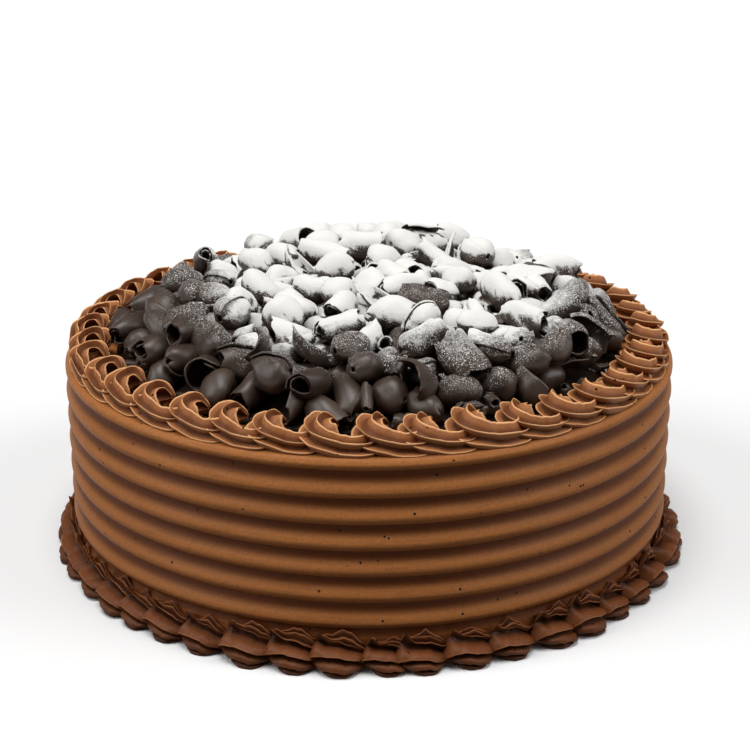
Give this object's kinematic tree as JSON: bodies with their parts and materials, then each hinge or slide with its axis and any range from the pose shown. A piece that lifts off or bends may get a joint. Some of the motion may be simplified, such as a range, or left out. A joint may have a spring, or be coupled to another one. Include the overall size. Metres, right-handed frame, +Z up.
{
  "type": "chocolate cake",
  "caption": "Round, uncut layer cake in combed chocolate icing, with a swirled piped border on top, a shell border round the foot, and a sugared heap of chocolate curls",
  "frame": {"origin": "Middle of the flat base, at the height it stands on.", "axes": "+Z is up, out of the base through the heap of curls. The cake is turned about Z, and -Y is the side that faces the viewer in the picture."},
  "size_m": [0.2457, 0.2458, 0.1042],
  "materials": {
    "combed_icing": "chocolate buttercream drawn smooth with a comb, soft satin, with small air holes",
    "piped_icing": "piped chocolate buttercream with sharp ribs, soft satin, a little lighter than the side",
    "shaded_piped_icing": "piped chocolate buttercream with sharp ribs, soft satin, a little darker than the side",
    "dark_chocolate": "shaved dark chocolate, matt with a faint sheen, dusted with icing sugar over the middle"
  },
  "bodies": {
    "root": {"iced_cake": "combed_icing", "top_border": "piped_icing", "foot_border": "shaded_piped_icing", "chocolate_curls": "dark_chocolate"}
  },
  "joints": []
}
